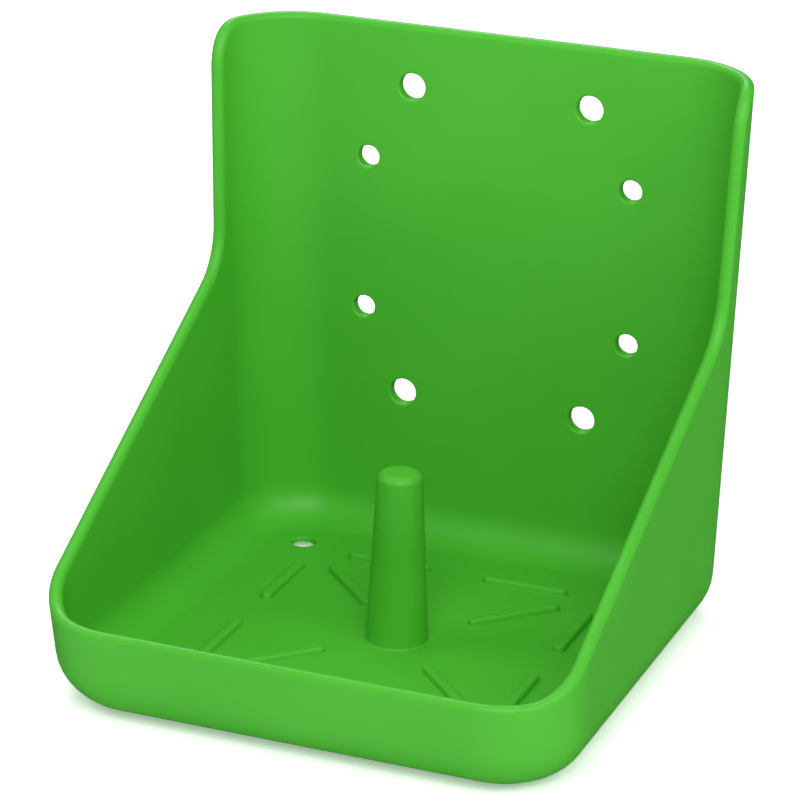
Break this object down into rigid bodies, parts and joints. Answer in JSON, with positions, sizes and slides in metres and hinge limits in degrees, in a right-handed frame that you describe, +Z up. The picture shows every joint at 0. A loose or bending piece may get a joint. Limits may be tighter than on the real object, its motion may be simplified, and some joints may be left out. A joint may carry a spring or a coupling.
{
  "type": "salt block holder",
  "caption": "Moulded wall holder for a livestock salt block: open tray with a high screw-on back, a centre peg, floor ribs and a drain hole.",
  "frame": {"origin": "on the underside, below the centre of the bounding box", "axes": "+Z up, +Y into the wall it hangs on, +X to the right of somebody facing the wall"},
  "size_m": [0.2486, 0.2466, 0.25],
  "materials": {
    "green_plastic": "satin, as moulded, with a very fine grain"
  },
  "bodies": {
    "root": {"tray_shell": "green_plastic", "centre_peg": "green_plastic", "front_left_side_rib": "green_plastic", "front_left_cross_rib": "green_plastic", "front_left_diagonal_rib": "green_plastic", "front_right_side_rib": "green_plastic", "front_right_cross_rib": "green_plastic", "front_right_diagonal_rib": "green_plastic", "rear_left_side_rib": "green_plastic", "rear_left_cross_rib": "green_plastic", "rear_left_diagonal_rib": "green_plastic", "rear_right_side_rib": "green_plastic", "rear_right_cross_rib": "green_plastic", "rear_right_diagonal_rib": "green_plastic"}
  },
  "joints": []
}
